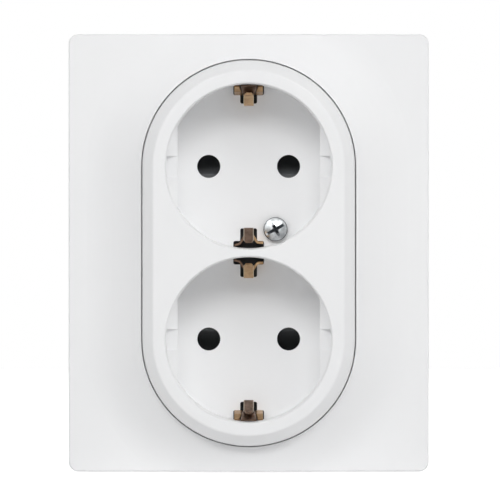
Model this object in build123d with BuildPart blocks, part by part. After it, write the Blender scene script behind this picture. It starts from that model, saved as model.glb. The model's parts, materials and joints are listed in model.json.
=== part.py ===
from build123d import *
import os
from math import atan2, cos, degrees, radians, sin, sqrt, tan

# Double earthed wall socket. Two round wells sit in one cover with round ends, which a single
# screw pulls down over a rectangular frame. The front faces -Y, +Z is up, the wall is the plane
# y = 0, and the origin lies midway between the two box screws. Heights are measured out from
# the wall, so a negative height lies inside the wall box.

# Plug interface
well_pitch = 41.1
well_radius = 19.65
well_depth = 16.5
well_draft = 0.7
pin_pitch = 19.0
pin_radius = 2.4
pin_length = 19.0
pin_hole_radius = 2.75
lug_flat = 16.95
lug_height = 12.8
lug_slope = 32.0
lug_notch = 5.0

# Frame
frame_width = 85.5
frame_reach = 31.35
frame_corner = 2.3
frame_height = 13.0
frame_wall = 2.0
frame_edge = 0.4
frame_crown = 0.15
swell_slope = 20.0
swell_run = 7.0
swell_curve = 17.5
frame_ring_wall = 1.8
ledge_width = 2.0
ledge_thickness = 1.3
ledge_height = 9.3
frame_rib = 1.2
frame_rib_height = 4.5

# Cover
cover_radius = 25.2
cover_gap = 0.25
bevel_width = 2.55
bevel_rise = 2.0
shoulder_radius = 1.0
plateau_edge = 0.2
rim_edge = 0.3
skirt_wall = 1.8
cover_top_wall = 2.2
cup_wall = 1.5
floor_thickness = 1.5

# Earth openings in the floor of each well
slot_bar_width = 7.3
slot_bar_outer = 2.7
slot_bar_inner = 1.9
slot_stem_width = 4.0
slot_stem_outer = 2.0
slot_stem_inner = 3.0
slot_corner = 0.45

# Cover screw, beside the lower earth contact of the upper well
screw_x = 6.4
screw_drop = 14.95
screw_head_radius = 2.85
screw_head_side = 1.0
screw_head_height = 1.9
screw_shank_radius = 1.5
screw_length = 8.0
screw_play = 0.1
screw_slot_width = 0.7
screw_slot_depth = 0.7
screw_cross_reach = 1.15
screw_cross_width = 0.75
screw_cross_depth = 1.3
recess_taper = 12.0
screw_turn = 29.0
screw_relief_radius = 3.6
bush_radius = 2.4
bush_length = 6.6
bush_play = 0.03
bush_boss_radius = 3.3
boss_floor = 1.0

# Mounting plate
plate_thickness = 1.0
plate_width = 72.0
plate_reach = 25.45
plate_corner = 3.0
plate_flange = 3.0
plate_flange_length = 78.0
box_screw_pitch = 60.0
box_slot_radius = 2.1
box_slot_length = 8.0

# Insulating base: a deck in front of the plate and a housing behind it
deck_flange = 2.0
deck_radius = 22.9
deck_pin_clearance = 0.25
housing_reach = 8.35
housing_half_width = 22.3
housing_wall = 1.5
housing_depth = 23.0
housing_edge = 0.8
housing_rim_width = 2.6
housing_rim = 1.2
base_gap = 0.3
base_screw_x = 18.6
base_screw_radius = 1.45
base_screw_hole = 1.5
base_screw_head = 2.8
base_screw_head_height = 1.8
base_screw_length = 12.0
base_boss_radius = 2.7
base_boss_depth = 11.0

# Shutters
shutter_travel = 6.0
shutter_pad = 6.4
shutter_play = 0.3
shutter_ramp_depth = 5.4
shutter_back = 0.8
shutter_bar = 3.0
shutter_bar_thickness = 4.5
shutter_bar_lead = 1.6
rail_wall = 1.2
rail_lip = 0.6
rail_lip_reach = 0.8
rail_end = 22.0
spring_radius = 1.4
spring_wire = 0.2
spring_turns = 4
spring_end_gap = 0.05
spring_depth = 2.9
spring_peg_radius = 0.9
spring_peg = 1.5
spring_post_width = 3.2
spring_post = 3.2
spring_post_height = 4.8

# Earth contacts
earth_sheet = 0.6
tongue_width = 2.25
tongue_root = 16.6
tongue_knee = 14.35
tongue_tip = 17.3
tongue_root_height = 7.5
tongue_knee_height = 12.5
tongue_tip_height = 17.6
tongue_bend = 0.9
tip_chamfer = 0.55
strap_overlap = 1.0
strap_width = 5.0
strap_waist = 14.0
wing_width = 6.9
wing_offset = 1.6
wing_shoulder = 2.2
wing_bend = 0.3
wing_root = 0.1
wing_rise = 0.4
wing_high = 7.5
flare_sheet = 0.5
flare_bend = 0.8
flare_fold = 18.2
flare_reach = 18.55
flare_high = 8.6
channel_gap = 0.3
channel_pocket = 1.4
earth_bar_reach = 6.0
earth_bar_arm = 3.4
earth_web_width = 9.0
rivet_radius = 1.0
rivet_head_radius = 1.35
rivet_head = 0.4
rivet_reach = 12.55

# Live and neutral rails, with a receiver for each pin
rail_sheet = 0.6
receiver_bend = 0.7
web_overlap = 0.5
receiver_play = 0.05
receiver_front = 7.9
receiver_throat = 9.3
receiver_flare = 0.85
receiver_width = 5.8
receiver_bottom_gap = 0.2
web_front = 9.8
clip_sheet = 0.4
clip_bend = 0.5
clip_gap = 0.05
clip_width = 4.4
clip_front = 10.2

# Wire terminals
wire_hole_radius = 1.5
wire_offset = 0.95
wire_pitch = 9.2
terminal_length = 14.0
terminal_back = 20.5
earth_web_face = -2.2
leaf_sheet = 0.35
leaf_width = 12.6
leaf_span = 5.2
leaf_heel = 3.4
leaf_tip = 0.45
leaf_front = 11.5
leaf_back = 19.2
leaf_tip_depth = 13.0
leaf_bend = 0.6
rib_gap = 0.1
rib_thickness = 1.0
rib_front = 10.0
button_travel = 2.0
button_low = 1.0
button_width = 2.0
button_length = 3.8
button_out = 2.2
button_flange = 0.5
button_flange_thickness = 1.0
button_flange_gap = 0.3
button_play = 0.15
button_leaf_gap = 0.25

# Edges are picked by place to within this
pick = 0.01

# Heights that follow from the sizes above
seat_height = plate_thickness + deck_flange
floor_height = seat_height + floor_thickness
cover_height = floor_height + well_depth
shoulder_height = cover_height - bevel_rise
swell_bend = frame_height + swell_curve * (1 - cos(radians(swell_slope)))
swell_top = swell_bend + swell_run * tan(radians(swell_slope))
floor_radius = well_radius - well_depth * tan(radians(well_draft))
opening_radius = cover_radius + cover_gap
ledge_radius = opening_radius - ledge_width
well_z = well_pitch / 2
frame_length = 2 * (well_z + frame_reach)
plate_length = 2 * (well_z + plate_reach)
housing_radius = well_z + housing_reach
rivet_z = well_z - rivet_reach
wing_low = seat_height + wing_rise
pin_x = pin_pitch / 2
screw_z = well_z - screw_drop
pin_end = pin_length - floor_height
receiver_half = pin_radius + receiver_play
receiver_bottom = pin_end + receiver_bottom_gap
rail_face = pin_x + receiver_half
housing_floor = housing_depth - housing_wall
shutter_front = shutter_play
shutter_depth = shutter_front + shutter_ramp_depth + shutter_back
lip_front = shutter_depth + shutter_play
pad_low = well_z - shutter_pad / 2
pad_high = well_z + shutter_pad / 2
bar_low = pad_low - shutter_bar_lead


def out(height):
    # Sketch plane parallel to the wall, at this height in front of it
    return Plane.XZ.offset(height)


def side(x):
    # Sketch plane across X, with its own axes along Z and out from the wall
    return Plane(origin=(x, 0, 0), x_dir=(0, 0, 1), z_dir=(1, 0, 0))


def level(z):
    # Sketch plane across Z, with its own axes along X and out from the wall
    return Plane(origin=(0, 0, z), x_dir=(1, 0, 0), z_dir=(0, 0, -1))


def sheet(points, bend, thickness, flip=False):
    # Face of a bent strip seen edge on, to one side of a line whose corners are rounded
    hand = 1 if flip else -1
    near = [Vector(*point) for point in points]
    headings = [(end - start).normalized() for start, end in zip(near, near[1:])]
    normals = [Vector(-heading.Y, heading.X) * hand for heading in headings]
    far = [near[0] + normals[0] * thickness]
    far_bends = []
    for corner, before, after in zip(near[1:-1], normals, normals[1:]):
        middle = (before + after).normalized()
        far.append(corner + middle * (thickness / middle.dot(before)))
        towards = before.cross(after).Z * hand > 0
        far_bends.append(bend - thickness if towards else bend + thickness)
    far.append(near[-1] + normals[-1] * thickness)
    with BuildSketch(Plane.XY, mode=Mode.PRIVATE) as strip:
        with BuildLine():
            FilletPolyline(*near, radius=bend)
            FilletPolyline(*far, radius=far_bends)
            Line(near[0], far[0])
            Line(near[-1], far[-1])
        make_face()
    return strip.sketch


def housing_outline(grow):
    # Circle with flattened sides that the base shows in the wall box
    with BuildSketch(Plane.XY, mode=Mode.PRIVATE) as outline:
        Circle(housing_radius + grow)
        Rectangle(2 * (housing_half_width + grow), 3 * housing_radius, mode=Mode.INTERSECT)
    return outline.sketch


# Section of the frame's face: it swells up from the flat to the edge of the cover opening
swell_angle = radians(swell_slope)
swell_foot = opening_radius + swell_run + swell_curve * sin(swell_angle)
curve_middle = (
    swell_foot - swell_curve * sin(swell_angle / 2),
    frame_height + swell_curve * (1 - cos(swell_angle / 2)),
)
with BuildSketch(Plane.XY) as swell_half:
    with BuildLine():
        Polyline(
            (swell_foot, frame_height),
            (swell_foot, 0),
            (0, 0),
            (0, swell_top),
            (opening_radius, swell_top),
            (opening_radius + swell_run, swell_bend),
        )
        ThreePointArc((opening_radius + swell_run, swell_bend), curve_middle, (swell_foot, frame_height))
    make_face()


def swell(drop):
    # Block under the swelling face, this much lower than the face itself
    with BuildPart(mode=Mode.PRIVATE) as body:
        for hand in (1, -1):
            with BuildSketch(level(hand * well_z)):
                add(swell_half.sketch.moved(Location((0, -drop, 0))))
            revolve(axis=Axis((0, 0, hand * well_z), (0, -hand, 0)), revolution_arc=180)
        with BuildSketch(level(0)):
            add(swell_half.sketch.moved(Location((0, -drop, 0))))
            mirror(about=Plane.YZ)
        extrude(amount=well_z, both=True)
        with BuildSketch(out(0)):
            Rectangle(frame_width, frame_length)
        extrude(amount=frame_height - drop)
    return body.part


# Room behind the frame's face, and the ribs that cross it
with BuildPart() as frame_hollow:
    add(swell(frame_wall))
    with BuildSketch(out(0)):
        RectangleRounded(frame_width - 2 * frame_wall, frame_length - 2 * frame_wall, frame_corner / 2)
    extrude(amount=swell_top, mode=Mode.INTERSECT)

with BuildPart() as frame_ribs:
    with BuildSketch(out(frame_height - frame_wall - frame_rib_height)):
        with GridLocations(0, well_pitch, 1, 2):
            Rectangle(frame_width - frame_wall, frame_rib)
        with GridLocations(2 * well_z, 0, 2, 1):
            Rectangle(frame_rib, frame_length - frame_wall)
    extrude(amount=swell_top)
    add(swell(frame_wall / 2), mode=Mode.INTERSECT)

# Frame: a shallow shell with a ledge on which the cover sits
with BuildPart() as frame:
    add(swell(0))
    with BuildSketch(out(0)):
        RectangleRounded(frame_width, frame_length, frame_corner)
    extrude(amount=swell_top, mode=Mode.INTERSECT)
    face_edges = frame.edges().filter_by_position(Axis.Y, -swell_top, -frame_height + pick)
    fillet(
        face_edges.filter_by(
            lambda e: frame_width / 2 - abs((e @ 0.5).X) < frame_corner
            or frame_length / 2 - abs((e @ 0.5).Z) < frame_corner
        ),
        frame_edge,
    )
    add(frame_hollow.part, mode=Mode.SUBTRACT)
    add(frame_ribs.part)
    with BuildSketch(out(ledge_height - ledge_thickness)):
        SlotCenterToCenter(well_pitch, 2 * (opening_radius + frame_ring_wall), rotation=90)
    extrude(amount=swell_top - frame_wall / 2 - ledge_height + ledge_thickness)
    with BuildSketch(out(0)):
        SlotCenterToCenter(well_pitch, 2 * ledge_radius, rotation=90)
    extrude(amount=swell_top, mode=Mode.SUBTRACT)
    with BuildSketch(out(ledge_height)):
        SlotCenterToCenter(well_pitch, 2 * opening_radius, rotation=90)
    extrude(amount=swell_top - ledge_height, mode=Mode.SUBTRACT)
    chamfer(
        frame.edges().filter_by_position(Axis.Y, -swell_top - pick, -swell_top + pick),
        frame_crown,
    )
frame.part.label = "frame"

# Guide lugs: the two flats in each well, with a sloping top and a level notch in the middle
lug_top = floor_height + lug_height
lug_edge = lug_top - (well_radius - lug_flat) * tan(radians(lug_slope))
with BuildPart() as guide_lugs:
    for well in (well_z, -well_z):
        for hand in (-1, 1):
            with BuildSketch(level(well)):
                with BuildLine():
                    Polyline(
                        (hand * lug_flat, floor_height),
                        (hand * lug_flat, lug_edge),
                        (hand * well_radius, lug_top),
                        (hand * (well_radius + cup_wall), lug_top),
                        (hand * (well_radius + cup_wall), floor_height),
                        close=True,
                    )
                make_face()
            extrude(amount=lug_flat, both=True)
        with BuildSketch(out(lug_edge)):
            with Locations((0, well)):
                Rectangle(2 * (well_radius + cup_wall), lug_notch)
        extrude(amount=lug_height, mode=Mode.SUBTRACT)
    with BuildSketch(out(floor_height)):
        with GridLocations(0, well_pitch, 1, 2):
            Circle(well_radius + cup_wall / 2)
    extrude(amount=lug_height, mode=Mode.INTERSECT)

# Cover: a bevelled top with two cups under it and a skirt that clamps the frame
with BuildPart() as cover:
    with BuildSketch(out(ledge_height)):
        SlotCenterToCenter(well_pitch, 2 * cover_radius, rotation=90)
    extrude(amount=shoulder_height - ledge_height)
    with BuildSketch(out(shoulder_height)):
        SlotCenterToCenter(well_pitch, 2 * cover_radius, rotation=90)
    extrude(amount=bevel_rise, taper=degrees(atan2(bevel_width, bevel_rise)))
    shoulder = cover.edges().filter_by_position(Axis.Y, -shoulder_height - pick, -shoulder_height + pick)
    fillet(shoulder, shoulder_radius)
    chamfer(cover.faces().sort_by(Axis.Y)[0].edges(), plateau_edge)
    with BuildSketch(out(ledge_height)):
        SlotCenterToCenter(well_pitch, 2 * (cover_radius - skirt_wall), rotation=90)
    extrude(amount=cover_height - cover_top_wall - ledge_height, mode=Mode.SUBTRACT)
    with BuildSketch(out(seat_height)):
        with GridLocations(0, well_pitch, 1, 2):
            Circle(well_radius + cup_wall)
    extrude(amount=cover_height - cover_top_wall - seat_height)
    for well in (well_z, -well_z):
        with BuildSketch(level(well)):
            with BuildLine():
                Polyline(
                    (0, floor_height),
                    (floor_radius, floor_height),
                    (well_radius, cover_height - rim_edge),
                    (well_radius + rim_edge, cover_height),
                    (0, cover_height),
                    close=True,
                )
            make_face()
        revolve(axis=Axis((0, 0, well), (0, 1, 0)), mode=Mode.SUBTRACT)
    add(guide_lugs.part)
    with Locations(out(floor_height)):
        with GridLocations(pin_pitch, well_pitch, 2, 2):
            Hole(pin_hole_radius, depth=floor_thickness)
    with BuildSketch(out(floor_height)):
        with Locations((screw_x, screw_z)):
            Circle(screw_relief_radius)
    extrude(amount=well_depth, mode=Mode.SUBTRACT)
    with Locations(out(floor_height)):
        with Locations((screw_x, screw_z)):
            Hole(screw_shank_radius + screw_play, depth=floor_thickness)
    for well in (well_z, -well_z):
        for hand in (-1, 1):
            outer = hand * well > 0
            bar_depth = slot_bar_outer if outer else slot_bar_inner
            stem_depth = slot_stem_outer if outer else slot_stem_inner
            stem_end = well_radius - bar_depth - stem_depth
            with BuildSketch(out(seat_height)):
                with Locations((0, well + hand * (well_radius - bar_depth / 2))):
                    RectangleRounded(slot_bar_width, bar_depth, slot_corner)
                with Locations((0, well + hand * (stem_end + well_radius) / 2)):
                    RectangleRounded(slot_stem_width, well_radius - stem_end, slot_corner)
                with Locations((0, well)):
                    Circle(floor_radius, mode=Mode.INTERSECT)
            extrude(amount=floor_thickness, mode=Mode.SUBTRACT)
cover.part.label = "cover"

# Cover screw, a raised head with a slot across a cross recess
head_top = floor_height + screw_head_height
head_crown = screw_head_height - screw_head_side
crown_radius = (screw_head_radius ** 2 + head_crown ** 2) / (2 * head_crown)
crown_middle = sqrt(crown_radius ** 2 - screw_head_radius ** 2 / 4) - crown_radius
with BuildPart() as cover_screw:
    with BuildSketch(level(screw_z)):
        with BuildLine():
            Polyline(
                (screw_x, head_top),
                (screw_x, floor_height - screw_length),
                (screw_x + screw_shank_radius, floor_height - screw_length),
                (screw_x + screw_shank_radius, floor_height),
                (screw_x + screw_head_radius, floor_height),
                (screw_x + screw_head_radius, floor_height + screw_head_side),
            )
            ThreePointArc(
                (screw_x + screw_head_radius, floor_height + screw_head_side),
                (screw_x + screw_head_radius / 2, head_top + crown_middle),
                (screw_x, head_top),
            )
        make_face()
    revolve(axis=Axis((screw_x, 0, screw_z), (0, 1, 0)))
    with BuildSketch(out(head_top)):
        with Locations((screw_x, screw_z)):
            Rectangle(3 * screw_head_radius, screw_slot_width, rotation=screw_turn)
    extrude(amount=-screw_slot_depth, mode=Mode.SUBTRACT)
    with BuildSketch(out(head_top)):
        with Locations((screw_x, screw_z)):
            Rectangle(2 * screw_cross_reach, screw_cross_width, rotation=screw_turn)
            Rectangle(screw_cross_width, 2 * screw_cross_reach, rotation=screw_turn)
    extrude(amount=-screw_cross_depth, taper=recess_taper, mode=Mode.SUBTRACT)
cover_screw.part.label = "cover_screw"

# Threaded bush that takes the cover screw
with BuildPart() as screw_bush:
    with BuildSketch(out(seat_height - bush_length)):
        with Locations((screw_x, screw_z)):
            Circle(bush_radius)
            Circle(screw_shank_radius + bush_play, mode=Mode.SUBTRACT)
    extrude(amount=bush_length)
screw_bush.part.label = "screw_bush"

# Mounting plate with folded side flanges and slots for the two box screws
with BuildPart() as mounting_plate:
    with BuildSketch(out(0)):
        RectangleRounded(plate_width, plate_length, plate_corner)
        add(housing_outline(base_gap), mode=Mode.SUBTRACT)
        with GridLocations(box_screw_pitch, 0, 2, 1):
            SlotOverall(box_slot_length, 2 * box_slot_radius, mode=Mode.SUBTRACT)
    extrude(amount=plate_thickness)
    with BuildSketch(out(plate_thickness)):
        with GridLocations(plate_width - plate_thickness, 0, 2, 1):
            Rectangle(plate_thickness, plate_flange_length)
    extrude(amount=plate_flange)
mounting_plate.part.label = "mounting_plate"


# Front deck: carries the earth clips in front and guides the shutters behind
strap_reach = tongue_root + wing_offset + earth_sheet
post_face = spring_post / 2
with BuildPart() as front_deck:
    with BuildSketch(out(plate_thickness)):
        SlotCenterToCenter(well_pitch, 2 * deck_radius, rotation=90)
    extrude(amount=deck_flange)
    with BuildSketch(out(0)):
        add(housing_outline(0))
    extrude(amount=plate_thickness)
    with BuildSketch(out(seat_height)):
        Rectangle(strap_width + 2 * channel_gap, 2 * (well_z + strap_waist) + strap_width)
    extrude(amount=-earth_sheet, mode=Mode.SUBTRACT)
    with BuildSketch(out(seat_height)):
        for well in (well_z, -well_z):
            for hand in (-1, 1):
                with Locations((0, well + hand * (strap_waist + strap_reach) / 2)):
                    Rectangle(slot_bar_width + channel_gap, strap_reach - strap_waist + 2 * channel_gap)
    extrude(amount=-channel_pocket, mode=Mode.SUBTRACT)
    with Locations(out(seat_height)):
        with GridLocations(pin_pitch, well_pitch, 2, 2):
            Hole(pin_hole_radius + deck_pin_clearance, depth=seat_height)
        with GridLocations(2 * base_screw_x, 0, 2, 1):
            Hole(base_screw_hole, depth=seat_height)
        with GridLocations(0, 2 * rivet_z, 1, 2):
            Hole(rivet_radius + channel_gap, depth=seat_height)
    with BuildSketch(level(0)):
        for hand in (-1, 1):
            rail_x = hand * (pin_x + shutter_pad / 2 + shutter_play + rail_wall / 2)
            lip_x = rail_x - hand * rail_lip_reach / 2
            with Locations((rail_x, -lip_front / 2)):
                Rectangle(rail_wall, lip_front)
            with Locations((lip_x, -lip_front - rail_lip / 2)):
                Rectangle(rail_wall + rail_lip_reach, rail_lip)
    extrude(amount=rail_end, both=True)
    with BuildSketch(out(0)):
        Rectangle(2 * housing_radius, 2 * (bar_low - shutter_travel))
    extrude(amount=-lip_front - rail_lip, mode=Mode.SUBTRACT)
    with BuildSketch(out(0)):
        with Locations((screw_x, screw_z)):
            Circle(bush_boss_radius)
    extrude(amount=seat_height - bush_length - boss_floor)
    with BuildSketch(out(0)):
        Rectangle(spring_post_width, spring_post)
    extrude(amount=-spring_post_height)
    for hand in (-1, 1):
        with BuildSketch(Plane.XY.offset(hand * post_face)):
            with Locations((0, spring_depth)):
                Circle(spring_peg_radius)
        extrude(amount=hand * spring_peg)
    with BuildSketch(out(seat_height)):
        with Locations((screw_x, screw_z)):
            Circle(bush_radius + bush_play)
    extrude(amount=-bush_length, mode=Mode.SUBTRACT)
front_deck.part.label = "front_deck"

# Rear housing: a cup behind the plate, with a rim that grips the plate against the deck
button_middle = button_low + button_width / 2
poles = {
    "live": (-rail_face, 1),
    "earth": (earth_web_face, 1),
    "neutral": (rail_face, -1),
}
with BuildPart() as rear_housing:
    with BuildSketch(out(-housing_depth)):
        add(housing_outline(0))
    extrude(amount=housing_depth)
    chamfer(rear_housing.faces().sort_by(Axis.Y)[-1].edges(), housing_edge)
    with BuildSketch(out(0)):
        add(housing_outline(housing_rim_width))
    extrude(amount=-housing_rim)
    with BuildSketch(out(-housing_floor)):
        add(housing_outline(-housing_wall))
    extrude(amount=housing_floor, mode=Mode.SUBTRACT)
    with BuildSketch(out(0)):
        with GridLocations(2 * base_screw_x, 0, 2, 1):
            Circle(base_boss_radius)
            Rectangle(2 * base_boss_radius, base_boss_radius)
    extrude(amount=-base_boss_depth)
    with BuildSketch(out(0)):
        with GridLocations(2 * base_screw_x, 0, 2, 1):
            Circle(base_screw_hole)
    extrude(amount=-base_boss_depth + housing_wall, mode=Mode.SUBTRACT)
    with BuildSketch(out(-housing_floor)):
        with GridLocations(pin_pitch, well_pitch, 2, 2):
            Rectangle(clip_width, clip_width)
        for web_x, hand in poles.values():
            rib_x = web_x + hand * (leaf_span + leaf_sheet + rib_gap + rib_thickness / 2)
            with Locations((rib_x, 0)):
                Rectangle(rib_thickness, terminal_length)
    extrude(amount=housing_floor - receiver_bottom - rail_sheet - clip_sheet - 2 * clip_gap)
    with BuildSketch(out(-housing_floor)):
        for web_x, hand in poles.values():
            rib_x = web_x + hand * (leaf_span + leaf_sheet + rib_gap + rib_thickness / 2)
            with Locations((rib_x, 0)):
                Rectangle(rib_thickness, terminal_length)
    extrude(amount=housing_floor - rib_front)
    with BuildSketch(out(-housing_depth)):
        for web_x, hand in poles.values():
            with Locations((web_x + hand * wire_offset, 0)):
                with GridLocations(0, wire_pitch, 1, 2):
                    Circle(wire_hole_radius)
            with Locations((web_x + hand * button_middle, 0)):
                Rectangle(button_width + 2 * button_play, button_length + 2 * button_play)
    extrude(amount=housing_wall, mode=Mode.SUBTRACT)
rear_housing.part.label = "rear_housing"

# Two screws that draw the housing up to the deck, with the plate between them
with BuildPart() as base_screws:
    with Locations(out(seat_height)):
        with GridLocations(2 * base_screw_x, 0, 2, 1):
            Cylinder(
                base_screw_radius,
                base_screw_length,
                align=(Align.CENTER, Align.CENTER, Align.MAX),
            )
            Cylinder(
                base_screw_head,
                base_screw_head_height,
                align=(Align.CENTER, Align.CENTER, Align.MIN),
            )
    heads = base_screws.edges().filter_by(GeomType.CIRCLE).group_by(Axis.Y)[0]
    chamfer(heads, base_screw_head_height / 3)
    with BuildSketch(out(seat_height + base_screw_head_height)):
        with GridLocations(2 * base_screw_x, 0, 2, 1):
            Rectangle(2 * screw_cross_reach, screw_cross_width)
            Rectangle(screw_cross_width, 2 * screw_cross_reach)
    extrude(amount=-screw_cross_depth, taper=recess_taper, mode=Mode.SUBTRACT)
base_screws.part.label = "base_screws"

# Earth clips: one bent strap for each well, with a sprung tongue at either end
earth_clips = []
for name, well in (("upper", well_z), ("lower", -well_z)):
    with BuildPart() as clip:
        with BuildSketch(out(seat_height - earth_sheet)):
            with Locations((0, well)):
                Rectangle(strap_width, 2 * strap_waist)
        extrude(amount=earth_sheet)
        for hand in (-1, 1):
            outer = hand * well > 0
            tongue_line = [
                (strap_waist - strap_overlap, seat_height),
                (tongue_root, seat_height),
                (tongue_root, tongue_root_height),
                (tongue_knee, tongue_knee_height),
                (tongue_tip, tongue_tip_height),
            ]
            with BuildSketch(side(0)):
                add(sheet([(well + hand * r, h) for r, h in tongue_line], tongue_bend, earth_sheet, hand < 0))
            extrude(amount=tongue_width / 2, both=True)
            tip = well + hand * tongue_tip
            with BuildSketch(out(tongue_tip_height - 2 * tip_chamfer)):
                for edge in (-tongue_width / 2, tongue_width / 2):
                    cut = tip_chamfer if edge < 0 else -tip_chamfer
                    with BuildLine():
                        Polyline(
                            (edge - cut, tip - hand * tip_chamfer),
                            (edge, tip - hand * tip_chamfer),
                            (edge + cut, tip + hand * tip_chamfer / 2),
                            (edge + cut, tip + hand * 2 * tip_chamfer),
                            (edge - cut, tip + hand * 2 * tip_chamfer),
                            close=True,
                        )
                    make_face()
            extrude(amount=3 * tip_chamfer, mode=Mode.SUBTRACT)
            if outer:
                flare_line = [
                    (tongue_root + earth_sheet - wing_root, wing_low),
                    (flare_fold, wing_high),
                    (flare_reach, flare_high),
                ]
                flare_points = [(well + hand * r, h) for r, h in flare_line]
                with BuildSketch(side(0)):
                    add(sheet(flare_points, flare_bend, flare_sheet, hand < 0))
                extrude(amount=wing_width / 2, both=True)
            else:
                with BuildSketch(out(wing_low)):
                    for wing in (-1, 1):
                        wing_line = [
                            (wing * (tongue_width / 2 - wing_root), well + hand * tongue_root),
                            (wing * wing_shoulder, well + hand * (tongue_root + wing_offset)),
                            (wing * wing_width / 2, well + hand * (tongue_root + wing_offset)),
                        ]
                        add(sheet(wing_line, wing_bend, earth_sheet, hand * wing > 0))
                extrude(amount=wing_high - wing_low)
        with Locations(out(seat_height)):
            with Locations((0, rivet_z if well > 0 else -rivet_z)):
                Hole(rivet_radius + bush_play, depth=earth_sheet)
    clip.part.label = f"earth_clip_{name}"
    earth_clips.append(clip.part)

# Earth bar behind the deck, with the web that the earth wires lie against
with BuildPart() as earth_bar:
    with BuildSketch(out(-earth_sheet)):
        with Locations(((earth_web_face - earth_bar_reach) / 2, 0)):
            Rectangle(earth_bar_reach + earth_web_face, 2 * rivet_z + earth_bar_arm)
        with Locations(((rivet_head_radius - earth_bar_reach) / 2, 0)):
            with GridLocations(0, 2 * rivet_z, 1, 2):
                Rectangle(earth_bar_reach + rivet_head_radius, earth_bar_arm)
        with GridLocations(0, 2 * rivet_z, 1, 2):
            Circle(rivet_radius + bush_play, mode=Mode.SUBTRACT)
    extrude(amount=earth_sheet)
    with BuildSketch(side(earth_web_face)):
        with Locations((0, -web_front / 2)):
            Rectangle(earth_web_width, web_front)
        with Locations((0, -(web_front + terminal_back) / 2)):
            Rectangle(terminal_length, terminal_back - web_front)
    extrude(amount=-earth_sheet)
earth_bar.part.label = "earth_bar"

# Rivets that join the earth bar and the two clips through the deck
with BuildPart() as earth_rivets:
    with Locations(out(seat_height)):
        with GridLocations(0, 2 * rivet_z, 1, 2):
            Cylinder(
                rivet_radius,
                seat_height + earth_sheet,
                align=(Align.CENTER, Align.CENTER, Align.MAX),
            )
    with Locations(out(-earth_sheet)):
        with GridLocations(0, 2 * rivet_z, 1, 2):
            Cylinder(
                rivet_head_radius,
                rivet_head,
                align=(Align.CENTER, Align.CENTER, Align.MAX),
            )
earth_rivets.part.label = "earth_rivets"

# Live and neutral rails: two pin receivers folded up from one strip
receiver_line = [
    (-pin_x - receiver_half - receiver_flare, -receiver_front),
    (-rail_face, -receiver_throat),
    (-rail_face, -receiver_bottom),
    (receiver_half - pin_x, -receiver_bottom),
    (receiver_half - pin_x, -receiver_throat),
    (receiver_half + receiver_flare - pin_x, -receiver_front),
]
rail_back = receiver_bottom + rail_sheet
with BuildPart() as live_rail:
    for well in (well_z, -well_z):
        with BuildSketch(level(well)):
            add(sheet(receiver_line, receiver_bend, rail_sheet))
        extrude(amount=receiver_width / 2, both=True)
    with BuildSketch(side(-rail_face)):
        with Locations((0, -(web_front + rail_back) / 2)):
            Rectangle(well_pitch - receiver_width + 2 * web_overlap, rail_back - web_front)
        with Locations((0, -(web_front + terminal_back) / 2)):
            Rectangle(terminal_length, terminal_back - web_front)
    extrude(amount=-rail_sheet)
live_rail.part.label = "live_rail"

with BuildPart() as neutral_rail:
    mirror(live_rail.part, about=Plane.YZ)
neutral_rail.part.label = "neutral_rail"

# Steel clips that squeeze each receiver on its pin
receiver_clips = []
clip_half = receiver_half + rail_sheet + clip_gap
clip_bottom = rail_back + clip_gap
for level_name, well in (("upper", well_z), ("lower", -well_z)):
    for pole, x in (("live", -pin_x), ("neutral", pin_x)):
        clip_line = [
            (x - clip_half, -clip_front),
            (x - clip_half, -clip_bottom),
            (x + clip_half, -clip_bottom),
            (x + clip_half, -clip_front),
        ]
        with BuildPart() as receiver_clip:
            with BuildSketch(level(well)):
                add(sheet(clip_line, clip_bend, clip_sheet))
            extrude(amount=clip_width / 2, both=True)
        receiver_clip.part.label = f"receiver_clip_{level_name}_{pole}"
        receiver_clips.append(receiver_clip.part)

# Terminals: a leaf that bites the wires and the button that lets them go
terminal_pieces = []
for pole, (web_x, hand) in poles.items():
    leaf_line = [
        (web_x + hand * leaf_span, -leaf_front),
        (web_x + hand * leaf_span, -leaf_back),
        (web_x + hand * leaf_heel, -leaf_back),
        (web_x + hand * leaf_tip, -leaf_tip_depth),
    ]
    with BuildPart() as clamp_spring:
        with BuildSketch(level(0)):
            add(sheet(leaf_line, leaf_bend, leaf_sheet, hand > 0))
        extrude(amount=leaf_width / 2, both=True)
    clamp_spring.part.label = f"clamp_spring_{pole}"
    leaf_slope = (leaf_back - leaf_tip_depth) / (leaf_heel - leaf_tip)
    tip_low = leaf_tip_depth + leaf_slope * (button_low - leaf_tip)
    tip_high = leaf_tip_depth + leaf_slope * (button_low + button_width - leaf_tip)
    slant_gap = (leaf_sheet + button_leaf_gap) * sqrt(1 + leaf_slope ** 2)
    flange_front = housing_floor - button_flange_gap - button_flange_thickness
    with BuildPart() as release_button:
        with BuildSketch(level(0)):
            with BuildLine():
                Polyline(
                    (web_x + hand * button_low, -housing_depth - button_out),
                    (web_x + hand * button_low, -tip_low - slant_gap),
                    (web_x + hand * (button_low + button_width), -tip_high - slant_gap),
                    (web_x + hand * (button_low + button_width), -housing_depth - button_out),
                    close=True,
                )
            make_face()
        extrude(amount=button_length / 2, both=True)
        with BuildSketch(out(-flange_front)):
            with Locations((web_x + hand * button_middle, 0)):
                Rectangle(button_width, button_length + 2 * button_flange)
        extrude(amount=-button_flange_thickness)
    release_button.part.label = f"release_button_{pole}"
    terminal_pieces += [clamp_spring.part, release_button.part]

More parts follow.
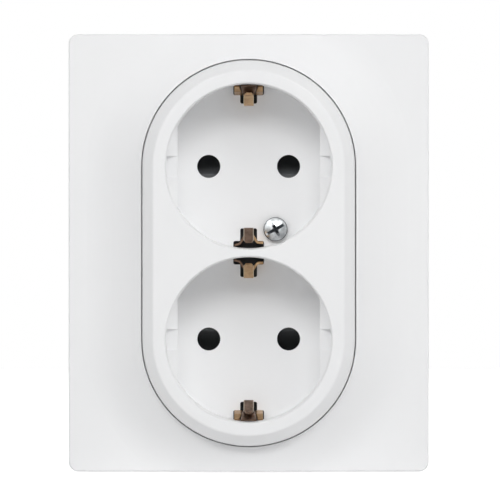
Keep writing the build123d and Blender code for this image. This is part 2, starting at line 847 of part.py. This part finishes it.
# Shutters: each covers the two pin holes of a well until both ramps are pushed together
shutter_pieces = []
for name, hand in (("upper", 1), ("lower", -1)):
    with BuildPart() as shutter:
        with BuildSketch(side(0)):
            with BuildLine():
                Polyline(
                    (hand * pad_low, -shutter_front),
                    (hand * pad_high, -shutter_front - shutter_ramp_depth),
                    (hand * pad_high, -shutter_depth),
                    (hand * pad_low, -shutter_depth),
                    close=True,
                )
            make_face()
        extrude(amount=pin_x + shutter_pad / 2, both=True)
        with BuildSketch(out(0)):
            with Locations((0, hand * well_z)):
                Rectangle(pin_pitch - shutter_pad, 2 * shutter_pad)
        extrude(amount=-shutter_depth, mode=Mode.SUBTRACT)
        with BuildSketch(out(-shutter_front)):
            with Locations((0, hand * (bar_low + shutter_bar / 2))):
                Rectangle(pin_pitch + shutter_pad, shutter_bar)
        extrude(amount=-shutter_bar_thickness)
        with BuildSketch(Plane.XY.offset(hand * bar_low)):
            with Locations((0, spring_depth)):
                Circle(spring_peg_radius)
        extrude(amount=-hand * spring_peg)
    shutter.part.label = f"shutter_{name}"
    spring_length = bar_low - post_face - 2 * (spring_wire + spring_end_gap)
    spring_start = (0, spring_depth, hand * (post_face + spring_wire + spring_end_gap))
    with BuildPart() as shutter_spring:
        with BuildLine() as coil:
            Helix(spring_length / spring_turns, spring_length, spring_radius, spring_start, (0, 0, hand))
        with BuildSketch(Plane(origin=coil.line @ 0, z_dir=coil.line % 0)):
            RegularPolygon(spring_wire, 4)
        sweep(is_frenet=True)
    shutter_spring.part.label = f"shutter_spring_{name}"
    shutter_pieces += [shutter.part, shutter_spring.part]

os.makedirs("parts", exist_ok=True)
pieces = [
    frame.part,
    cover.part,
    cover_screw.part,
    screw_bush.part,
    mounting_plate.part,
    front_deck.part,
    rear_housing.part,
    base_screws.part,
    earth_bar.part,
    earth_rivets.part,
    live_rail.part,
    neutral_rail.part,
]
for piece in pieces + earth_clips + receiver_clips + terminal_pieces + shutter_pieces:
    export_step(piece, f"parts/{piece.label}.step")
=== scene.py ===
import json
import math

import bmesh
import bpy
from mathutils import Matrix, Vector


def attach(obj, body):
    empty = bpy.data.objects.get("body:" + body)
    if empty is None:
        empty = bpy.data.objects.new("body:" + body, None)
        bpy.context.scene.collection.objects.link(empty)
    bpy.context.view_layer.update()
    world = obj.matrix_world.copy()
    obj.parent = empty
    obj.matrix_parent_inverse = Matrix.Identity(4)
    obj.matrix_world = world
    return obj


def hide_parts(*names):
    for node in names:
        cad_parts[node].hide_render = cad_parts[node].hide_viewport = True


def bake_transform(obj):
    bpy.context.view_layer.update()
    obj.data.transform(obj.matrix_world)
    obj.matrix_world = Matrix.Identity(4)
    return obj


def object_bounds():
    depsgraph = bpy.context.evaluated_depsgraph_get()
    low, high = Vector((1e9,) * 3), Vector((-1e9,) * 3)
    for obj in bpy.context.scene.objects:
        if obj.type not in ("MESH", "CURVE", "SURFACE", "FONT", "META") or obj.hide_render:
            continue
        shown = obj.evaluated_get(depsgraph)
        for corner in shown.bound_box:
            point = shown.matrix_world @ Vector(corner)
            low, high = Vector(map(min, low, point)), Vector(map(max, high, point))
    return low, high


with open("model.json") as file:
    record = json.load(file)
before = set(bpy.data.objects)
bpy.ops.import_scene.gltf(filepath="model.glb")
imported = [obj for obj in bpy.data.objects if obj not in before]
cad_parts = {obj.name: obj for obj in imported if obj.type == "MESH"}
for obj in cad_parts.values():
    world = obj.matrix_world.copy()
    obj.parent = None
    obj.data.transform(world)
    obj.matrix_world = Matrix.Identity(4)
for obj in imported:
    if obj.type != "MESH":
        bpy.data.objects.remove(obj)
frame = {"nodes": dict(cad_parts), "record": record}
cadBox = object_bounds()
nodes = frame["nodes"]
print("frame loaded,", len(nodes), "nodes")


# A socket of a node tree that can stand in sums, and makes the nodes that feed on it
class Lead:
    def __init__(self, tree, socket=None):
        self.tree = tree
        self.socket = socket

    def node(self, kind, settings=None, sockets=None, out=0):
        made = self.tree.nodes.new(kind)
        for name, value in (settings or {}).items():
            if name == "stops":
                for element, (place, shade) in zip(made.color_ramp.elements, value):
                    element.position = place
                    element.color = (shade, shade, shade, 1)
            else:
                setattr(made, name, value)
        for name, value in (sockets or {}).items():
            if isinstance(value, Lead):
                self.tree.links.new(value.socket, made.inputs[name])
            else:
                made.inputs[name].default_value = value
        return Lead(self.tree, made.outputs[out] if made.outputs else None)

    def maths(self, operation, *values, clamp=False):
        settings = {"operation": operation, "use_clamp": clamp}
        return self.node("ShaderNodeMath", settings, dict(enumerate(values)))

    def __add__(self, other):
        return self.maths("ADD", self, other)

    def __radd__(self, other):
        return self.maths("ADD", other, self)

    def __sub__(self, other):
        return self.maths("SUBTRACT", self, other)

    def __rsub__(self, other):
        return self.maths("SUBTRACT", other, self)

    def __mul__(self, other):
        return self.maths("MULTIPLY", self, other)

    def __rmul__(self, other):
        return self.maths("MULTIPLY", other, self)

    def __truediv__(self, other):
        return self.maths("DIVIDE", self, other)

    def __rtruediv__(self, other):
        return self.maths("DIVIDE", other, self)

    def __abs__(self):
        return self.maths("ABSOLUTE", self)

    def root(self):
        return self.maths("SQRT", self)

    def sine(self):
        return self.maths("SINE", self)

    def cosine(self):
        return self.maths("COSINE", self)

    def limited(self):
        return self.maths("MULTIPLY", self, 1.0, clamp=True)

    def softStep(self, start, width):
        # from 0 to 1 over the width
        return ((self - start) / width).limited()

    def steps(self, low, high):
        # the same through a ramp, for noise
        return self.node("ShaderNodeValToRGB", {"stops": ((low, 0.0), (high, 1.0))}, {"Fac": self})

    def blendTo(self, first, second):
        # the lead is the share of the second colour
        sockets = {"Factor": self, 6: solid(first), 7: solid(second)}
        return self.node("ShaderNodeMix", {"data_type": "RGBA"}, sockets, out=2)

    def noise(self, scale, detail, roughness=0.5):
        sockets = {"Vector": self, "Scale": scale, "Detail": detail, "Roughness": roughness}
        return self.node("ShaderNodeTexNoise", {}, sockets)

    def stretched(self, x, y, z):
        return self.node("ShaderNodeMapping", {}, {"Vector": self, "Scale": (x, y, z)})

    def axis(self, index):
        return self.node("ShaderNodeSeparateXYZ", {}, {"Vector": self}, out=index)

    def bump(self, distance, sockets=None):
        return self.node("ShaderNodeBump", {}, {"Height": self, "Distance": distance, **(sockets or {})})


def solid(shade):
    return shade if isinstance(shade, Lead) else (*shade, 1.0)


def newFinish(name):
    finish = bpy.data.materials.new(name)
    finish.use_nodes = True
    finish.node_tree.nodes.clear()
    place = Lead(finish.node_tree).node("ShaderNodeTexCoord", out="Object")
    return finish, place


def finishWith(place, sockets):
    shader = place.node("ShaderNodeBsdfPrincipled", {}, sockets)
    place.node("ShaderNodeOutputMaterial", {}, {"Surface": shader})


# Moulded plastics: fine sparked grain, slow waves from the mould and a slightly uneven sheen
mouldLook = {
    "cloudDetail": 3.0, "cloudLow": 0.3, "cloudHigh": 0.7, "grainDetail": 2.0, "grainRoughness": 0.6,
    "waveDetail": 1.0,
}


def mouldedPlastic(name, look):
    finish, place = newFinish(name)
    cloud = place.noise(look["cloudScale"], mouldLook["cloudDetail"])
    grain = place.noise(look["grainScale"], mouldLook["grainDetail"], mouldLook["grainRoughness"])
    wave = place.noise(look["waveScale"], mouldLook["waveDetail"])
    shade = cloud.steps(mouldLook["cloudLow"], mouldLook["cloudHigh"])
    finishWith(place, {
        "Base Color": shade.blendTo(look["deep"], look["pale"]),
        "Roughness": look["sheen"] + (grain - 0.5) * look["sheenSpread"],
        "IOR": look["ior"],
        "Normal": grain.bump(look["grainDepth"], {"Normal": wave.bump(look["waveDepth"])}),
    })
    return finish


whiteLook = {
    "deep": (0.888, 0.892, 0.900), "pale": (0.904, 0.907, 0.912), "sheen": 0.46, "sheenSpread": 0.10,
    "cloudScale": 28, "grainScale": 5200, "grainDepth": 0.000004, "waveScale": 55,
    "waveDepth": 0.00004, "ior": 1.49,
}
blackLook = {
    "deep": (0.040, 0.042, 0.045), "pale": (0.058, 0.060, 0.064), "sheen": 0.58, "sheenSpread": 0.2,
    "cloudScale": 60, "grainScale": 3500, "grainDepth": 0.00002, "waveScale": 90,
    "waveDepth": 0.00005, "ior": 1.50,
}
greyLook = {
    "deep": (0.30, 0.31, 0.33), "pale": (0.35, 0.36, 0.38), "sheen": 0.42, "sheenSpread": 0.15,
    "cloudScale": 160, "grainScale": 3800, "grainDepth": 0.00001, "waveScale": 120,
    "waveDepth": 0.00004, "ior": 1.50,
}
shutterLook = {
    "deep": (0.150, 0.157, 0.165), "pale": (0.185, 0.193, 0.200), "sheen": 0.58, "sheenSpread": 0.2,
    "cloudScale": 90, "grainScale": 3500, "grainDepth": 0.00001, "waveScale": 90,
    "waveDepth": 0.00004, "ior": 1.50,
}

# Sheet metals: rolling lines along one axis and soft clouds of tarnishing. Some have a painted
# highlight, lighter along the side edges that stand far out from the wall
rollLook = {
    "lineDetail": 3.0, "lineRoughness": 0.6, "cloudDetail": 4.0, "cloudRoughness": 0.6,
    "cloudLow": 0.35, "cloudHigh": 0.75,
}


def rolledMetal(name, look):
    finish, place = newFinish(name)
    stretched = place.stretched(*look["lineStretch"])
    lines = stretched.noise(look["lineScale"], rollLook["lineDetail"], rollLook["lineRoughness"])
    cloud = place.noise(look["cloudScale"], rollLook["cloudDetail"], rollLook["cloudRoughness"])
    stain = cloud.steps(rollLook["cloudLow"], rollLook["cloudHigh"])
    tarnishAndGlint = stain.blendTo(look["bright"], look["dull"])
    # painted highlight: lighter along the side edges that stand far out from the wall
    if "paintedGlint" in look:
        edge = abs(place.axis(0)).softStep(look["paintedGlintFrom"], look["paintedGlintBlur"])
        raised = (-1.0 * place.axis(1)).softStep(look["paintedGlintAbove"], look["paintedGlintBlur"])
        tarnishAndGlint = (edge * raised).blendTo(tarnishAndGlint, look["paintedGlint"])
    finishWith(place, {
        "Base Color": tarnishAndGlint,
        "Metallic": 1.0,
        "Roughness": look["sheen"] + (lines - 0.5) * look["sheenSpread"] + stain * look["stainSheen"],
        "Normal": lines.bump(look["lineDepth"]),
    })
    return finish


brassLook = {
    "bright": (0.50, 0.34, 0.19), "dull": (0.34, 0.21, 0.12), "sheen": 0.32, "sheenSpread": 0.24,
    # painted highlight colour, and where it lies on the far-out side edges
    "paintedGlint": (0.66, 0.55, 0.38), "paintedGlintFrom": 0.00102, "paintedGlintBlur": 0.0001, "paintedGlintAbove": 0.0124,
    "stainSheen": 0.16, "cloudScale": 620, "lineStretch": (1, 1, 0.06), "lineScale": 5000,
    "lineDepth": 0.000006,
}
# Darker brass for parts of the earth clips: painted shade on each well's lower tongue and the left inner
# wing, and brown tarnishing on the band
tarnishAndShadeLook = {
    "bright": (0.25, 0.165, 0.12), "dull": (0.12, 0.085, 0.062), "sheen": 0.34, "sheenSpread": 0.2,
    # painted highlight colour, and where it lies on the far-out side edges
    "paintedGlint": (0.52, 0.45, 0.36), "paintedGlintFrom": 0.00098, "paintedGlintBlur": 0.0001, "paintedGlintAbove": 0.0124,
    "stainSheen": 0.16, "cloudScale": 520, "lineStretch": (1, 1, 0.06), "lineScale": 5000,
    "lineDepth": 0.000006,
}
springLook = {
    "bright": (0.60, 0.60, 0.61), "dull": (0.47, 0.47, 0.48), "sheen": 0.26, "sheenSpread": 0.18,
    "stainSheen": 0.10, "cloudScale": 300, "lineStretch": (1, 1, 0.08), "lineScale": 6000,
    "lineDepth": 0.000004,
}
zincLook = {
    "bright": (0.52, 0.53, 0.54), "dull": (0.40, 0.42, 0.43), "sheen": 0.36, "sheenSpread": 0.16,
    "stainSheen": 0.12, "cloudScale": 120, "lineStretch": (1, 1, 0.3), "lineScale": 2500,
    "lineDepth": 0.000005,
}

# Head of the cover screw: the plate's own tone on the crown, painted shade in the slot and cross and
# round the rim, and painted shade in four arms over the cross in the middle. Place and sizes follow the
# CAD head, in metres
screwLook = {
    "x": 0.0064, "z": 0.0056, "top": 0.0064, "crown": 0.0049625, "rim": 0.00262, "rimBlur": 0.00018,
    "recessShadeFrom": 0.00004, "recessShadeBlur": 0.00022, "bright": (0.64, 0.66, 0.67),
    "dull": (0.42, 0.44, 0.45), "dark": (0.045, 0.05, 0.055), "starArms": 4,
    "starTurn": math.radians(29), "starLow": 0.0009, "starReach": 0.001, "starBlur": 0.00015,
    "starShade": 0.6, "sheen": 0.30, "sheenSpread": 0.2, "darkSheen": 0.2, "cloudScale": 900,
    "cloudLow": 0.4, "cloudHigh": 0.62, "scratchScale": 2600, "scratchRoughness": 0.6,
    "detail": 3.0, "scratchDepth": 0.00001,
}


def screwHead(name, look):
    finish, place = newFinish(name)
    x = place.axis(0) - look["x"]
    z = place.axis(2) - look["z"]
    square = x * x + z * z
    radius = square.root()
    # how far the surface lies under the ball of the crown
    ball = look["top"] - look["crown"] + (look["crown"] ** 2 - square).root()
    # painted shade: deeper in the slot and cross, round the rim, and in four arms over the cross
    recessShade = (ball + place.axis(1)).softStep(look["recessShadeFrom"], look["recessShadeBlur"])
    rim = radius.softStep(look["rim"], look["rimBlur"])
    turn = z.maths("ARCTAN2", z, x) - look["starTurn"]
    arm = (turn * (look["starArms"] / 2)).cosine()
    armSquare = arm * arm
    reach = look["starLow"] + armSquare * armSquare * look["starReach"]
    crossShade = (reach - radius).softStep(0.0, look["starBlur"]) * look["starShade"]
    shaded = (recessShade + rim + crossShade).limited()
    cloud = place.noise(look["cloudScale"], look["detail"])
    plate = cloud.steps(look["cloudLow"], look["cloudHigh"]).blendTo(look["bright"], look["dull"])
    scratch = place.noise(look["scratchScale"], look["detail"], look["scratchRoughness"])
    finishWith(place, {
        "Base Color": shaded.blendTo(plate, look["dark"]),
        "Metallic": 1.0,
        "Roughness": look["sheen"] + (scratch - 0.5) * look["sheenSpread"] + shaded * look["darkSheen"],
        "Normal": scratch.bump(look["scratchDepth"]),
    })
    return finish


finishes = {
    "white_plastic": mouldedPlastic("whitePlastic", whiteLook),
    "black_plastic": mouldedPlastic("blackPlastic", blackLook),
    "grey_plastic": mouldedPlastic("greyPlastic", greyLook),
    "brass": rolledMetal("brassSheet", brassLook),
    "spring_steel": rolledMetal("springSteel", springLook),
    "zinc_steel": rolledMetal("zincPlate", zincLook),
}
tarnishAndShadeFinish = rolledMetal("tarnishAndShadeBrass", tarnishAndShadeLook)
shutterFinish = mouldedPlastic("shutterPlastic", shutterLook)
ownFinishes = {
    "shutter_upper": shutterFinish,
    "shutter_lower": shutterFinish,
    "cover_screw": screwHead("screwPlate", screwLook),
}
slotOf = {row["node"]: row["material_slot"] for row in frame["record"]["subparts"]}
for name, piece in nodes.items():
    piece.data.materials.clear()
    piece.data.materials.append(ownFinishes.get(name, finishes[slotOf[name]]))
print("finishes on", len(finishes), "slots")


def meshFrom(work, name):
    bmesh.ops.recalc_face_normals(work, faces=work.faces)
    mesh = bpy.data.meshes.new(name)
    work.to_mesh(mesh)
    work.free()
    return mesh


def newPiece(mesh, finish):
    mesh.materials.clear()
    mesh.materials.append(finish)
    piece = bpy.data.objects.new(mesh.name, mesh)
    bpy.context.scene.collection.objects.link(piece)
    return piece


# Earth contacts, bent from sheet, in millimetres. Each strip follows a line, on which a point has
# two places and then the low and high edge of the sheet. Tongues, band, flap and strap have their
# places from the well's middle and out from the wall, with edges across. The wings have them
# across and from the well's middle, with edges out from the wall
clipLook = {
    "sheet": 0.6, "flapSheet": 0.45, "edge": 0.13, "bend": 0.9, "wingBend": 0.3, "bendShare": 0.45,
    "bendSteps": 5,
    "strap": [(-14.2, 2.99, -2.5, 2.5), (14.2, 2.99, -2.5, 2.5)],
    "tongue": [
        (13.0, 2.99, -1.2, 1.2), (16.6, 2.99, -1.2, 1.2), (16.6, 7.5, -1.2, 1.2),
        (14.15, 12.5, -1.2, 1.2), (16.6, 16.9, -1.2, 1.2), (17.0, 17.6, -0.75, 0.75),
    ],
    "innerTongue": [
        (13.0, 2.99, -1.2, 1.2), (16.6, 2.99, -1.2, 1.2), (16.6, 7.5, -1.2, 1.2),
        (14.35, 12.5, -1.2, 1.2), (17.2, 16.9, -1.2, 1.2), (17.65, 17.6, -0.75, 0.75),
    ],
    "band": [(16.9, 3.4, -1.5, 1.5), (17.4, 9.0, -1.6, 1.6), (18.95, 12.4, -1.9, 1.9)],
    "flap": [(16.95, 4.6, 1.6, 3.4), (17.7, 8.4, 1.7, 3.4), (18.9, 9.8, 2.15, 3.4)],
    "wing": [(1.15, 16.2, 3.4, 8.4), (2.25, 17.85, 3.4, 8.4), (3.45, 17.85, 3.4, 8.4)],
    # left inner wing: set lower, and in painted shade
    "shadedWing": [(-1.15, 16.4, 3.4, 4.5), (-2.3, 18.2, 3.4, 4.5), (-3.45, 18.5, 3.4, 4.5)],
}
millimetre = 0.001


def drawnEdgeOn(wellZ, hand):
    def place(fromMiddle, out, across):
        return (across * millimetre, -out * millimetre, wellZ + hand * fromMiddle * millimetre)
    return place


def drawnFromFront(wellZ, hand):
    def place(across, fromMiddle, out):
        return (across * millimetre, -out * millimetre, wellZ + hand * fromMiddle * millimetre)
    return place


def roundedLine(line, bend):
    steps = clipLook["bendSteps"]
    corners = [Vector(point) for point in line]
    points = [corners[0]]
    for before, corner, after in zip(corners, corners[1:], corners[2:]):
        back, onward = before - corner, after - corner
        reach = min(bend, clipLook["bendShare"] * min(back.xy.length, onward.xy.length))
        for step in range(steps + 1):
            share = step / steps
            points.append(
                corner + back * (reach / back.xy.length * (1 - share) ** 2)
                + onward * (reach / onward.xy.length * share ** 2)
            )
    points.append(corners[-1])
    return points


# The sheet lies on one side of the line, or on the other where its thickness is negative
def addStrip(work, line, thick, bend, place):
    edge, full = clipLook["edge"], abs(thick)
    points = roundedLine(line, bend)
    rings = []
    for index, point in enumerate(points):
        before, after = points[max(index - 1, 0)], points[min(index + 1, len(points) - 1)]
        along = (after.xy - before.xy).normalized()
        away = Vector((along.y, -along.x)) * (1 if thick > 0 else -1)
        low, high = point.z, point.w
        section = [
            (low + edge, 0), (high - edge, 0), (high, edge), (high, full - edge),
            (high - edge, full), (low + edge, full), (low, full - edge), (low, edge),
        ]
        ring = []
        for span, depth in section:
            spot = point.xy + away * depth
            ring.append(work.verts.new(place(spot.x, spot.y, span)))
        rings.append(ring)
    for near, far in zip(rings, rings[1:]):
        for corner in range(len(near)):
            work.faces.new((near[corner - 1], near[corner], far[corner], far[corner - 1]))
    work.faces.new(rings[0])
    work.faces.new(rings[-1])


def makeEarthClip(level, wellZ, outer):
    look = clipLook
    # one sheet in plain brass, one in the darker brass with painted shade and brown tarnishing
    clean, tarnishAndShade = bmesh.new(), bmesh.new()
    for hand in (-1, 1):
        edgeOn, fromFront = drawnEdgeOn(wellZ, hand), drawnFromFront(wellZ, hand)
        tongue = look["tongue"] if hand == outer else look["innerTongue"]
        # painted shade: each well's lower tongue goes on the darker brass
        addStrip(clean if hand > 0 else tarnishAndShade, tongue, look["sheet"], look["bend"], edgeOn)
        if hand == outer:
            addStrip(tarnishAndShade, look["band"], look["flapSheet"], look["bend"], edgeOn)
            mirrored = [(middle, out, -high, -low) for middle, out, low, high in look["flap"]]
            for flap in (look["flap"], mirrored):
                addStrip(clean, flap, look["flapSheet"], look["wingBend"], edgeOn)
        else:
            addStrip(clean, look["wing"], -look["sheet"], look["wingBend"], fromFront)
            # painted shade: the left inner wing goes on the darker brass
            addStrip(tarnishAndShade, look["shadedWing"], look["sheet"], look["wingBend"], fromFront)
    addStrip(clean, look["strap"], look["sheet"], look["bend"], drawnEdgeOn(wellZ, 1))
    cleanPiece = newPiece(meshFrom(clean, "earthClip" + level.capitalize()), finishes["brass"])
    darkPiece = newPiece(meshFrom(tarnishAndShade, "earthClipDark" + level.capitalize()), tarnishAndShadeFinish)
    for piece in (cleanPiece, darkPiece):
        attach(piece, "socket")
    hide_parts("earth_clip_" + level)


makeEarthClip("upper", 0.02055, 1)
makeEarthClip("lower", -0.02055, -1)
print("earth contacts made")

# Wire clamp leaves: the CAD leaves, cut across near the web, where the leaf would bend when its biting
# end goes with the release button and the heel stays. Each has the place of its web across the socket,
# and the side to which the leaf points from there
leafLook = {
    "bendFrom": 0.0034, "bendTo": 0.0030, "cuts": 5, "mergeWithin": 1e-7, "cutWithin": 1e-8,
    "webs": {"live": (-0.01195, 1), "earth": (-0.0022, 1), "neutral": (0.01195, -1)},
}


def makeLeaf(pole, webX, hand):
    look = leafLook
    name = "clamp_spring_" + pole
    work = bmesh.new()
    work.from_mesh(nodes[name].data)
    bmesh.ops.remove_doubles(work, verts=work.verts, dist=look["mergeWithin"])
    first, last = webX + hand * look["bendFrom"], webX + hand * look["bendTo"]
    for step in range(look["cuts"]):
        x = first + (last - first) * step / (look["cuts"] - 1)
        bmesh.ops.bisect_plane(
            work, geom=work.verts[:] + work.edges[:] + work.faces[:], dist=look["cutWithin"],
            plane_co=(x, 0, 0), plane_no=(1, 0, 0),
        )
    piece = newPiece(meshFrom(work, "clampLeaf" + pole.capitalize()), finishes["spring_steel"])
    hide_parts(name)
    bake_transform(piece)


for pole, (webX, hand) in leafLook["webs"].items():
    makeLeaf(pole, webX, hand)
print("clamp leaves made")

# Return springs of the shutters: wire swept along a helix whose coils close up at both ends
springWire = {
    "radius": 0.0014, "wire": 0.0002, "turns": 7, "flat": 0.75, "perTurn": 28, "sides": 10,
    "depth": 0.0029, "low": 0.00185, "high": 0.0155,
}


def makeSpringTree():
    tree = bpy.data.node_groups.new("wireSpring", "GeometryNodeTree")
    tree.interface.new_socket("spring", in_out="OUTPUT", socket_type="NodeSocketGeometry")
    for name in (*springWire, "hand"):
        tree.interface.new_socket(name, in_out="INPUT", socket_type="NodeSocketFloat")
    given = tree.nodes.new("NodeGroupInput")
    size = {socket.name: Lead(tree, socket) for socket in given.outputs if socket.name}
    start = Lead(tree)
    steps = size["turns"] * size["perTurn"]
    share = start.node("GeometryNodeInputIndex") / steps
    turn = share * size["turns"] * math.tau
    length = size["high"] - size["low"] - 2 * size["wire"]
    closing = size["flat"] * (share * math.tau).sine() / math.tau
    middle = start.node("ShaderNodeCombineXYZ", {}, {
        "X": size["radius"] * turn.cosine(),
        "Y": size["depth"] + size["hand"] * size["radius"] * turn.sine(),
        "Z": size["hand"] * (size["low"] + size["wire"] + length * (share - closing)),
    })
    points = start.node("GeometryNodeMeshLine", {}, {"Count": steps + 1})
    line = start.node("GeometryNodeMeshToCurve", {}, {"Mesh": points})
    helix = start.node("GeometryNodeSetPosition", {}, {"Geometry": line, "Position": middle})
    section = start.node(
        "GeometryNodeCurvePrimitiveCircle", {}, {"Resolution": size["sides"], "Radius": size["wire"]}
    )
    swept = start.node(
        "GeometryNodeCurveToMesh", {}, {"Curve": helix, "Profile Curve": section, "Fill Caps": True}
    )
    smooth = start.node("GeometryNodeSetShadeSmooth", {}, {"Geometry": swept})
    real = start.node("GeometryNodeRealizeInstances", {}, {"Geometry": smooth})
    finished = start.node(
        "GeometryNodeSetMaterial", {}, {"Geometry": real, "Material": finishes["spring_steel"]}
    )
    start.node("NodeGroupOutput", {}, {"spring": finished})
    return tree


def makeSpring(tree, level, hand):
    values = {**springWire, "hand": hand}
    seed = bpy.data.objects.new("springSeed", bpy.data.meshes.new("springSeed"))
    bpy.context.scene.collection.objects.link(seed)
    modifier = seed.modifiers.new("spring", "NODES")
    modifier.node_group = tree
    for socket in tree.interface.items_tree:
        if socket.in_out == "INPUT":
            modifier[socket.identifier] = float(values[socket.name])
    grown = seed.evaluated_get(bpy.context.evaluated_depsgraph_get())
    mesh = bpy.data.meshes.new_from_object(grown)
    mesh.name = "shutterSpring" + level.capitalize()
    bpy.data.objects.remove(seed)
    piece = newPiece(mesh, finishes["spring_steel"])
    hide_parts("shutter_spring_" + level)
    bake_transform(piece)


springTree = makeSpringTree()
makeSpring(springTree, "upper", 1)
makeSpring(springTree, "lower", -1)
print("springs made")


# The rays that see the plain white studio: the camera's, and those mirrored or let through
def seenPlainly(start):
    camera, glossy, through = [
        start.node("ShaderNodeLightPath", out=ray)
        for ray in ("Is Camera Ray", "Is Glossy Ray", "Is Transmission Ray")
    ]
    return (camera + glossy + through).limited()


# Floor, pale and far wider than the view
floorLook = {
    "reach": 1.5, "drop": 0.0004, "deep": (0.78, 0.78, 0.78), "pale": (0.80, 0.80, 0.80),
    "mottleScale": 6, "mottleDetail": 2.0, "roughness": 0.8, "lift": 0.84,
}


def makeFloor():
    look = floorLook
    reach, z = look["reach"], cadBox[0][2] - look["drop"]
    mesh = bpy.data.meshes.new("floor")
    corners = [(-reach, -reach, z), (reach, -reach, z), (reach, reach, z), (-reach, reach, z)]
    mesh.from_pydata(corners, [], [(0, 1, 2, 3)])
    finish, place = newFinish("floorPaint")
    shade = place.noise(look["mottleScale"], look["mottleDetail"]).blendTo(look["deep"], look["pale"])
    matt = place.node(
        "ShaderNodeBsdfPrincipled", {}, {"Base Color": shade, "Roughness": look["roughness"]}
    )
    lift = place.node(
        "ShaderNodeEmission", {},
        {"Color": solid((1, 1, 1)), "Strength": seenPlainly(place) * look["lift"]},
    )
    both = place.node("ShaderNodeAddShader", {}, {0: matt, 1: lift})
    place.node("ShaderNodeOutputMaterial", {}, {"Surface": both})
    newPiece(mesh, finish)


makeFloor()

# World: white where it is seen plainly, a soft fill for everything else
worldLook = {"fill": 0.03}


def makeWorld():
    world = bpy.data.worlds.new("studio")
    world.use_nodes = True
    world.node_tree.nodes.clear()
    start = Lead(world.node_tree)
    strength = worldLook["fill"] + seenPlainly(start) * (1 - worldLook["fill"])
    light = start.node(
        "ShaderNodeBackground", {}, {"Color": solid((1, 1, 1)), "Strength": strength}
    )
    start.node("ShaderNodeOutputWorld", {}, {"Surface": light})
    bpy.context.scene.world = world


makeWorld()

# Lamps: each is placed by its angles from the straight front, seen from the socket
lampsAway = 1.3
lamps = {
    "key": {"turn": 0, "rise": 29, "wide": 0.8, "tall": 0.4, "power": 6.0},
    "keyLeft": {"turn": -40, "rise": 33, "wide": 0.45, "tall": 0.5, "power": 2.6},
    "keyRight": {"turn": 40, "rise": 33, "wide": 0.45, "tall": 0.5, "power": 3.1},
    "sideLeft": {"turn": -60, "rise": 12, "wide": 0.4, "tall": 0.6, "power": 1.3},
    "sideRight": {"turn": 60, "rise": 12, "wide": 0.4, "tall": 0.6, "power": 2.1},
    "top": {"turn": 180, "rise": 68, "wide": 0.6, "tall": 0.5, "power": 1.0},
    "backLeft": {"turn": -150, "rise": 3, "wide": 0.6, "tall": 0.5, "power": 3.8},
    "backRight": {"turn": 150, "rise": 3, "wide": 0.6, "tall": 0.5, "power": 3.8},
}


def makeLamp(name, look):
    turn, rise = math.radians(look["turn"]), math.radians(look["rise"])
    lamp = bpy.data.lights.new(name, "AREA")
    lamp.shape = "RECTANGLE"
    lamp.size = look["wide"]
    lamp.size_y = look["tall"]
    lamp.energy = look["power"]
    holder = bpy.data.objects.new(name, lamp)
    holder.location = (
        lampsAway * math.cos(rise) * math.sin(turn),
        -lampsAway * math.cos(rise) * math.cos(turn),
        lampsAway * math.sin(rise),
    )
    holder.rotation_euler = (math.pi / 2 - rise, 0, turn)
    bpy.context.scene.collection.objects.link(holder)


for name, look in lamps.items():
    makeLamp(name, look)

# Camera: straight in front with a long lens, a little above the middle
view = {
    "away": 3.0, "across": 0.00032, "middle": 0.00076, "above": 0.4, "field": 0.1184,
    "sensor": 36, "sees": 20,
}


def makeCamera():
    tilt = math.radians(view["above"])
    camera = bpy.data.cameras.new("camera")
    camera.sensor_width = view["sensor"]
    camera.lens = view["sensor"] * view["away"] / view["field"]
    camera.clip_end = view["sees"]
    holder = bpy.data.objects.new("camera", camera)
    holder.location = (
        view["across"],
        cadBox[0][1] - view["away"] * math.cos(tilt),
        view["middle"] + view["away"] * math.sin(tilt),
    )
    holder.rotation_euler = (math.pi / 2 - tilt, 0, 0)
    bpy.context.scene.collection.objects.link(holder)
    bpy.context.scene.camera = holder


makeCamera()
bpy.context.scene.view_settings.view_transform = "Standard"
print("stage ready")
